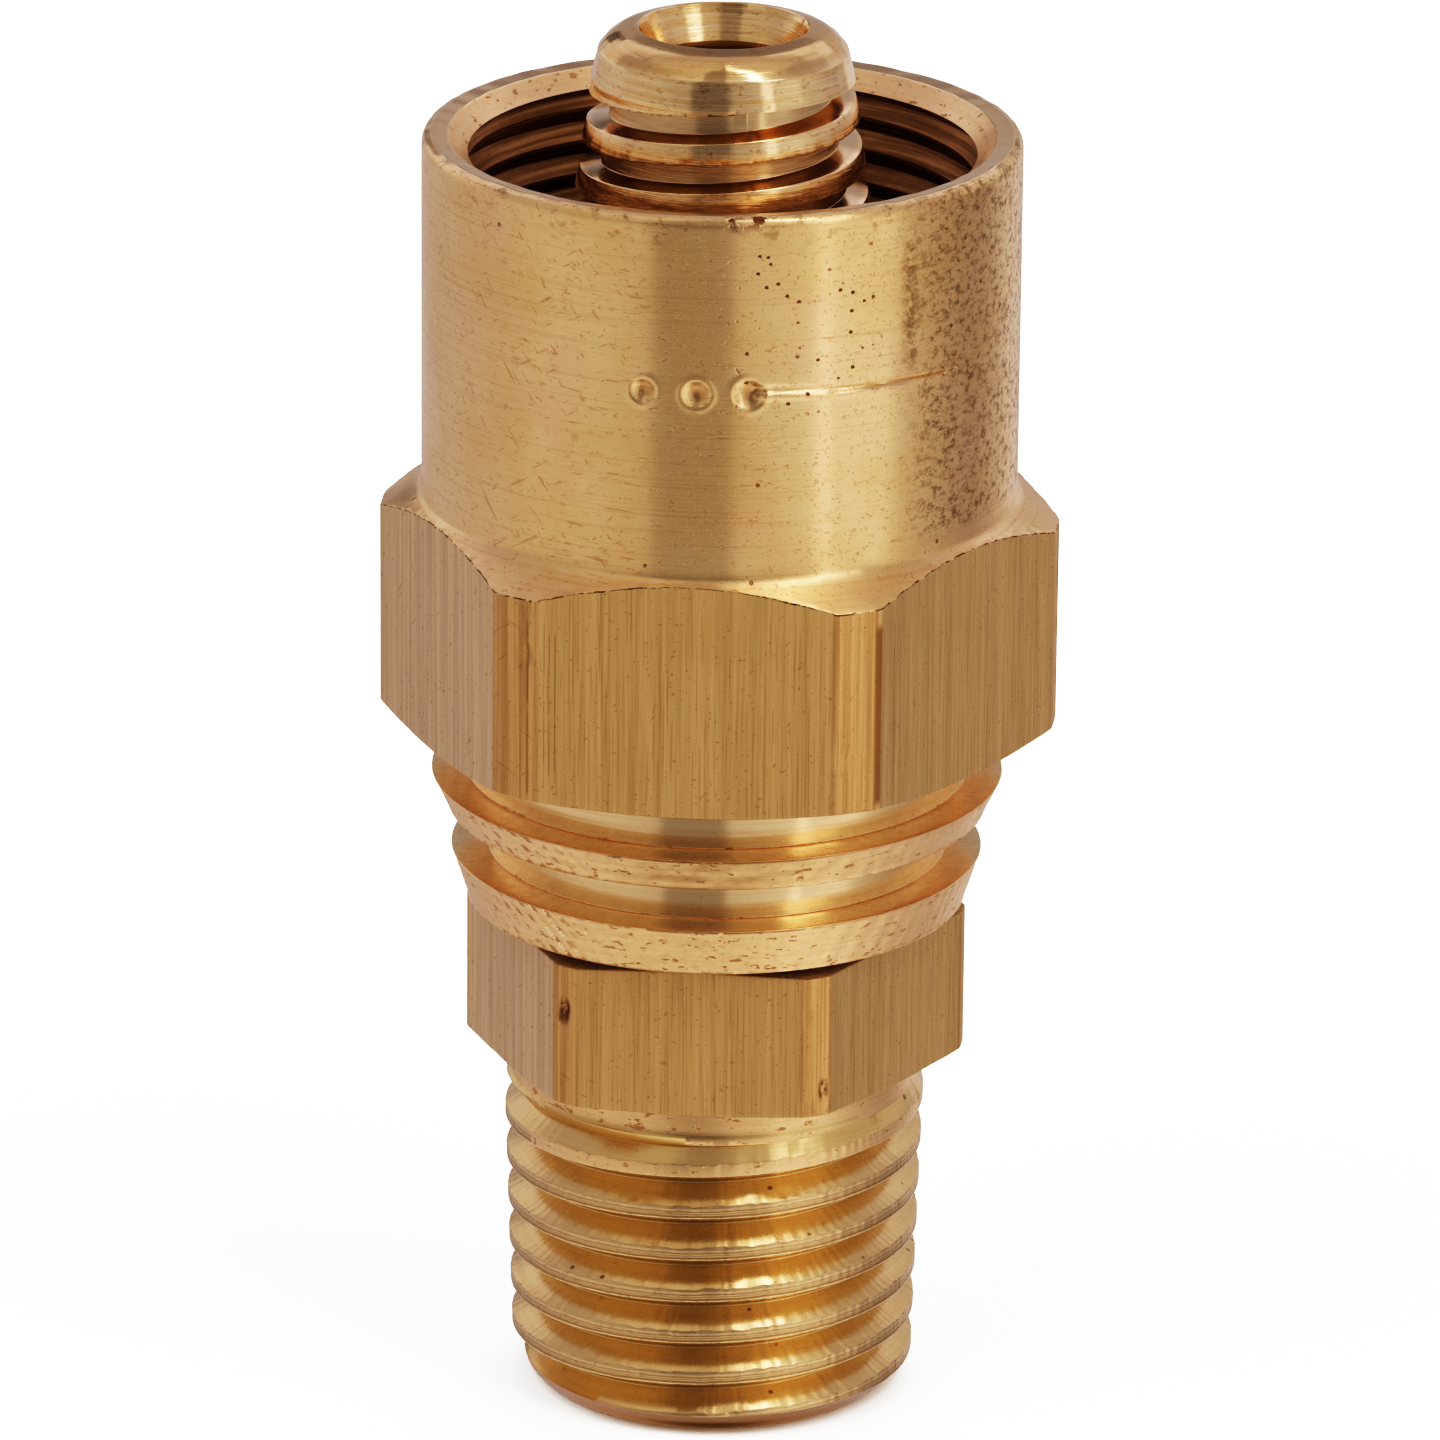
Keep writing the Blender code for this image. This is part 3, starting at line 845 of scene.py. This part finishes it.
def groove_looks(nodes, place):
    """The groove floors, the sleeve's rim and the small hexagon's ends: bright, with tool lines."""
    rings = nodes.noise(place, (0.1, 0.1, 11), 4, 0.6)
    fine = nodes.noise(place, (5, 5, 6), 4, 0.7)
    colour = nodes.mix(nodes.between(rings, 0.35, 0.65), GROOVE, GROOVE_WARM)
    colour = nodes.tint(colour, nodes.between(fine, 0.62, 0.74), 0.45, BROWN)
    rougher = total(nodes, (fine, 0.2), (rings, 0.12), (-0.15, 1.0))
    height = total(nodes, (rings, 0.004), (fine, 0.0003))
    return colour, rougher, height


def thread_looks(nodes, place):
    """The pipe thread: golden flanks with faint rings, flecks of dirt, and painted shade on the end chamfer.
    """
    _, _, z = round_axis(nodes, place)
    rings = nodes.noise(place, (0.1, 0.1, 9), 3, 0.6)
    fine = nodes.noise(place, (3, 3, 5), 3, 0.7)
    colour = nodes.mix(nodes.between(rings, 0.35, 0.65), THREAD_PALE, THREAD_WARM)
    colour = nodes.tint(colour, nodes.between(fine, 0.6, 0.74), 0.25, BROWN)
    colour = nodes.tint(colour, pits(nodes, place, 1.1, 0.12, 0.4), 0.8, RUST)
    # Painted shade: the end chamfer is darkened in place of the contact shadow that it reflects.
    colour = nodes.tint(colour, nodes.between(z, 0.85, 0.65), 0.85, END_SHADE)
    rougher = total(nodes, (fine, 0.15), (rings, 0.08), (-0.11, 1.0))
    height = total(nodes, (rings, 0.003), (fine, 0.0004))
    return colour, rougher, height


# Lines along the pipe thread's crest: (share of the pitch, brightness).
CREST_LINES = ((0, 1.0), (0.035, 0.95), (0.06, 0.1), (0.085, 0.1), (0.11, 0.65), (0.135, 0.3), (0.16, 0.75),
               (0.185, 0.2), (0.21, 0.6), (0.24, 0.9), (0.27, 0.5), (0.4, 0.9))


def crest_looks(nodes, place):
    """The pipe thread's crests: drawn into fine dark and bright lines that follow the helix."""
    turn, _, z = round_axis(nodes, place)
    fine = nodes.noise(place, (5, 5, 9), 3, 0.7)
    wave = nodes.noise(place, (1.5, 1.5, 1.5), 3, 0.7)
    thread = pipe_thread()
    start = 10 - FRONT / (2 * pi) - thread.phase / thread.pitch
    along = nodes.math("MULTIPLY_ADD", turn, -1 / (2 * pi), start)
    across = nodes.math("FRACT", nodes.math("MULTIPLY_ADD", z, 1 / thread.pitch, along))
    across = nodes.math("MULTIPLY_ADD", wave, 0.06, nodes.math("SUBTRACT", across, 0.03))
    lines = nodes.ramp(across, CREST_LINES)
    colour = nodes.mix(lines, CREST_DARK, CREST_PALE)
    colour = nodes.tint(colour, nodes.between(fine, 0.55, 0.7), 0.5, CREST_DARK)
    rougher = total(nodes, (fine, 0.3), (wave, 0.2), (-0.25, 1.0))
    height = total(nodes, (lines, 0.012), (fine, 0.008))
    return colour, rougher, height


def stem_looks(nodes, place):
    """The stem: turned, with coarse tool lines and dirty flecks, painted shade in the thread's valleys, and a
    browner dome.
    """
    _, radius, z = round_axis(nodes, place)
    rings = nodes.noise(place, (0.15, 0.15, 6), 4, 0.7)
    fine = nodes.noise(place, (3, 3, 6), 4, 0.7)
    colour = nodes.mix(nodes.between(rings, 0.38, 0.62), STEM_PALE, BRASS_WARM)
    colour = nodes.tint(colour, nodes.between(fine, 0.54, 0.7), 0.6, BROWN)
    # Painted shade: the thread's valleys are darkened by how deep they lie below the crest.
    crest = nodes.math("MULTIPLY_ADD", z, -STEM_TAPER, LAND_RADIUS + STEM_TAPER * LAND_BASE)
    valley_shade = nodes.times(nodes.between(nodes.math("SUBTRACT", crest, radius), 0.08, 0.3),
                         nodes.between(z, LAND_BASE, LAND_BASE - 0.2))
    colour = nodes.tint(colour, valley_shade, 0.85, VALLEY_SHADE)
    dome = nodes.times(nodes.between(z, 43.4, 43.7), nodes.between(radius, 2.5, 2.8))
    colour = nodes.tint(colour, dome, 0.5, DOME_GOLD)
    rougher = total(nodes, (fine, 0.12), (rings, 0.06), (valley_shade, 0.05), (-0.09, 1.0))
    height = total(nodes, (rings, 0.014), (fine, 0.0008))
    return colour, rougher, height


def bore_looks(nodes, place):
    """The chamber and bores: dark with painted shade, with brighter tool lines, and the front of the chamber
    wall left pale brass.
    """
    turn, _, z = round_axis(nodes, place)
    rings = nodes.noise(place, (0.15, 0.15, 7), 3, 0.6)
    fine = nodes.noise(place, (3, 3, 5), 4, 0.7)
    # Painted shade: the bores and the chamber are coloured dark for the shade inside them.
    colour = nodes.mix(nodes.between(rings, 0.35, 0.7), BORE_SHADE_DARK, BORE_SHADE_PALE)
    # The front of the chamber wall is kept out of the painted shade, in pale brass.
    unshaded_front = patch(nodes, turn, z, (-80, 80), (36, 43), 15)
    colour = nodes.tint(colour, unshaded_front, 0.85, BRASS_PALE)
    rougher = total(nodes, (fine, 0.3), (-0.15, 1.0))
    height = total(nodes, (rings, 0.005), (fine, 0.002))
    return colour, rougher, height


# ---------------------------------------------------------------- light, floor and camera

# What the metal sees around it, from low to high: (degrees to the right of the camera, brightness).
LEVEL = ((-180, 0.60), (-150, 0.56), (-130, 0.56), (-100, 0.60), (-75, 0.68), (-45, 0.66), (-35, 0.62),
         (-27, 0.58), (-25, 0.37), (4, 0.37), (6, 0.62), (15, 0.66), (30, 0.76), (37, 0.82), (38.5, 1.25),
         (42, 1.25), (43.5, 0.86), (54, 0.95), (66, 0.98), (74, 0.68), (85, 0.56), (101, 0.45),
         (115, 0.40), (127, 0.5), (150, 0.8), (180, 0.60))
BELOW = ((-180, 0.6), (-120, 0.7), (-60, 0.85), (-20, 1.0), (20, 1.05), (60, 1.2), (85, 0.8), (120, 0.6),
         (180, 0.6))
LOW = ((-180, 0.44), (-167, 0.5), (-163, 0.2), (-158, 0.2), (-154, 0.8), (-120, 0.8), (-90, 0.5),
       (-60, 0.5), (-30, 0.42), (-25, 0.24), (4, 0.24), (8, 0.42), (34, 0.55), (37, 1.2), (44, 1.2),
       (47, 0.65), (60, 0.7), (90, 0.6), (120, 0.75), (160, 0.6), (180, 0.44))
HIGH = ((-180, 0.32), (-168, 0.36), (-162, 0.9), (-140, 0.85), (-120, 0.5), (-60, 0.6), (-28, 0.6),
        (-24, 0.4), (3, 0.4), (8, 0.6), (34, 0.7), (37, 2.2), (56, 2.2), (60, 0.6), (90, 0.5),
        (120, 0.55), (140, 0.95), (162, 1.0), (168, 0.36), (180, 0.32))
TOP = ((-180, 0.6), (-120, 0.64), (-30, 0.8), (-24, 0.45), (3, 0.45), (10, 0.8), (32, 1.0), (35, 6.0),
       (48, 6.0), (52, 0.85), (120, 0.66), (180, 0.6))
WARM = (1.0, 0.93, 0.87)
COOL_BEHIND = 1.12
UNDERSIDE = (0.12, 0.08, 0.04, 1)

# How the bands above BELOW follow each other: (degrees up where one starts and is whole, band, coolness).
BANDS = ((-38, -30, LEVEL, COOL_BEHIND), (-3, 6, LOW, COOL_BEHIND), (21, 28, HIGH, 1.2),
         (48, 58, TOP, COOL_BEHIND))


def around(nodes, turn, stops, behind):
    """A ramp of brightness round the horizon, a little cooler behind the object."""
    def colour(degrees, brightness):
        cool = 1 + (behind - 1) * clamp((abs(degrees) - 70) / 40, 0, 1)
        red, green, blue = (brightness * part for part in WARM)
        return (degrees / 360 + 0.5, (red, green, blue * cool))
    return nodes.ramp(turn, [colour(*stop) for stop in stops])


def world():
    scene = bpy.context.scene
    scene.world = bpy.data.worlds.new("studio")
    scene.world.use_nodes = True
    nodes = Nodes(scene.world.node_tree)
    background = scene.world.node_tree.nodes["Background"]
    x, y, z = nodes.add("SeparateXYZ", nodes.add("TexCoord").outputs["Generated"]).outputs
    turn = nodes.math("ARCTAN2", x, nodes.times(y, -1.0))
    turn = nodes.math("FRACT", nodes.math("MULTIPLY_ADD", turn, 1 / (2 * pi), 1.5 - VIEW_AZIMUTH / (2 * pi)))
    colour = around(nodes, turn, BELOW, COOL_BEHIND)
    for start, end, stops, behind in BANDS:
        share = nodes.between(z, sin(radians(start)), sin(radians(end)))
        colour = nodes.mix(share, colour, around(nodes, turn, stops, behind))
    colour = nodes.mix(nodes.between(z, -0.97, -0.9), UNDERSIDE, colour)
    nodes.feed(background.inputs["Color"], colour)


def add_object(name, data):
    made = bpy.data.objects.new(name, data)
    bpy.context.scene.collection.objects.link(made)
    return made


def floor_piece():
    mesh = bpy.data.meshes.new("floor")
    reach = 1.2
    outline = [(-reach, -reach, 0), (reach, -reach, 0), (reach, reach, 0), (-reach, reach, 0)]
    mesh.from_pydata(outline, [], [(0, 1, 2, 3)])
    floor_object = add_object("floor", mesh)
    material = bpy.data.materials.new("floor_white")
    material.use_nodes = True
    shader = material.node_tree.nodes["Principled BSDF"]
    shader.inputs["Base Color"].default_value = (0.9, 0.9, 0.9, 1)
    shader.inputs["Roughness"].default_value = 0.9
    mesh.materials.append(material)
    floor_object.visible_glossy = False


# Soft lamps, all aimed at the object: (name, place and size in metres).
LAMPS = (("top_left", (-0.5, -0.4, 0.9), 0.7), ("top_right", (0.6, -0.3, 0.9), 0.7),
         ("top_back", (0.0, 0.7, 0.9), 0.8))
LAMP_WATTS = 14


def lights():
    for name, place, size in LAMPS:
        light = bpy.data.lights.new(name, "AREA")
        light.energy = LAMP_WATTS
        light.size = size
        lamp = add_object(name, light)
        lamp.location = place
        lamp.rotation_euler = (-Vector(place)).to_track_quat("-Z", "Y").to_euler()
        lamp.visible_glossy = False


# The tone curve's points: (light in, grey out).
TONE = ((0, 0), (0.06, 0.012), (0.14, 0.053), (0.217, 0.125), (0.25, 0.16), (0.35, 0.29), (0.56, 0.54),
        (0.75, 0.69), (0.9, 0.79), (1.1, 0.86), (1.6, 0.95), (2.5, 1))


def tone():
    """A photographic tone curve: deep shadows, and highlights that roll off to white."""
    settings = bpy.context.scene.view_settings
    settings.view_transform = "Standard"
    settings.use_curve_mapping = True
    mapping = settings.curve_mapping
    white = TONE[-1][0]
    mapping.white_level = (white, white, white)
    curve = mapping.curves[3]
    for x, y in TONE[1:-1]:
        curve.points.new(x / white, y)
    mapping.update()


# The camera: how far it looks down, its distance in metres, the width that it takes in at the object's axis,
# the point that it aims at, and its tilt.
ELEVATION = radians(19.4)
DISTANCE = 0.35
VIEW_WIDTH = 45.0
AIM_HEIGHT = 21.67
AIM_RIGHT = 0.084375
ROLL = radians(0.53)
SENSOR = 36


def camera():
    lens = bpy.data.cameras.new("camera")
    lens.sensor_width = SENSOR
    lens.lens = SENSOR * DISTANCE / (VIEW_WIDTH * MM)
    lens.clip_start = 0.01
    eye = add_object("camera", lens)
    back = Vector((sin(VIEW_AZIMUTH) * cos(ELEVATION), -cos(VIEW_AZIMUTH) * cos(ELEVATION), sin(ELEVATION)))
    right = Vector((cos(VIEW_AZIMUTH), sin(VIEW_AZIMUTH), 0))
    target = Vector((0, 0, AIM_HEIGHT * MM)) + right * AIM_RIGHT * MM
    eye.location = target + back * DISTANCE
    eye.rotation_euler = back.to_track_quat("Z", "Y").to_euler()
    eye.rotation_euler.rotate_axis("Z", ROLL)
    bpy.context.scene.camera = eye


# ---------------------------------------------------------------- the pieces

def paint(mesh, zone):
    """Give each face a material. zone(radius, height, up) gives their indices, up being the normal's z."""
    count = len(mesh.polygons)
    centres = np.empty(count * 3)
    normals = np.empty(count * 3)
    mesh.polygons.foreach_get("center", centres)
    mesh.polygons.foreach_get("normal", normals)
    centres = centres.reshape(count, 3) / MM
    indices = zone(np.hypot(centres[:, 0], centres[:, 1]), centres[:, 2], normals.reshape(count, 3)[:, 2])
    mesh.polygons.foreach_set("material_index", indices.astype(np.int32))


# The indices of MATERIALS.
TURNED, DRAWN, RING, BRIGHT, THREADED, BORED, STEM, CREST, LEDGES, BURR = range(10)


def insert_zone(radius, height, up):
    zone = np.full(radius.shape, BRIGHT)
    zone[(height > COLLAR_BASE - 0.02) & (height < INSERT_HEX_BASE) & (radius < 6.6)] = RING
    zone[height < COLLAR_BASE - 0.02] = THREADED
    crest = PIPE_CREST_AT_END + PIPE_TAPER * height
    zone[(height > 0.78) & (height < COLLAR_BASE - 0.5) & (radius > crest - 0.11)] = CREST
    run_out = (height > COLLAR_BASE - 1.3) & (height < COLLAR_BASE - 0.02)
    zone[run_out & (radius > 6.2) & (abs(up) < 0.2)] = RING
    zone[(height > INSERT_HEX_BASE + 0.01) & (height < INSERT_HEX_TOP - 0.01) & (radius > 6.5)] = DRAWN
    zone[height > STEM_THREAD_BASE] = STEM
    zone[(height > INSERT_HEX_TOP) & (height < STEM_THREAD_BASE)] = BORED
    zone[radius < BORE_RADIUS + 0.06] = BORED
    return zone


def ferrule_zone(radius, height, up):
    zone = np.full(radius.shape, TURNED)
    hexed = (height > FERRULE_HEX_BASE + 0.01) & (height < SLEEVE_BASE - 0.02) & (radius > SLEEVE_RADIUS)
    zone[hexed & ((up < 0.12) | (height < CONE_LOW))] = DRAWN
    zone[hexed & (height > CONE_LOW) & (radius > 9.45) & (up > 0.12) & (up < 0.6)] = BURR
    zone[(height < FERRULE_HEX_BASE + 0.1) & (radius > 5.9)] = RING
    zone[(height < FERRULE_HEX_BASE + 0.1) & (abs(up) < 0.12)] = BRIGHT
    zone[(height < FERRULE_HEX_BASE) & (up > 0.7) & (radius > 7)] = LEDGES
    zone[(radius < 9) & (height > CHAMBER_THREAD_TOP)] = BRIGHT
    zone[(radius < 8.44) & (height > CHAMBER_THREAD_TOP)] = RING
    zone[(radius < 8.3) & (height > 24) & (height < CHAMBER_THREAD_TOP)] = BORED
    zone[radius < 5.9] = BORED
    return zone


def add_piece(mesh, node, zone):
    for material in MATERIALS:
        mesh.materials.append(material)
    paint(mesh, zone)
    piece = add_object(node + "_detail", mesh)
    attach(piece, node)
    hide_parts(node)


camera()
world()
lights()
floor_piece()
tone()
MATERIALS = (
    brass("brass_turned", 0.26, 0.9, turned_looks),
    brass("brass_drawn", 0.62, 0.3, drawn_looks),
    brass("brass_rings", 0.36, 0.5, ring_looks),
    brass("brass_bright", 0.15, 0.7, groove_looks),
    brass("brass_thread", 0.25, 0.0, thread_looks),
    brass("brass_bores", 0.42, 0.3, bore_looks),
    brass("brass_stem", 0.12, 0.8, stem_looks),
    brass("brass_crest", 0.34, 0.5, crest_looks),
    brass("brass_ledges", 0.26, 0.3, ledge_looks),
    brass("brass_burr", 0.40, 0.0, burr_line_looks),
)
add_piece(insert_mesh(), "insert", insert_zone)
add_piece(ferrule_mesh(), "ferrule", ferrule_zone)
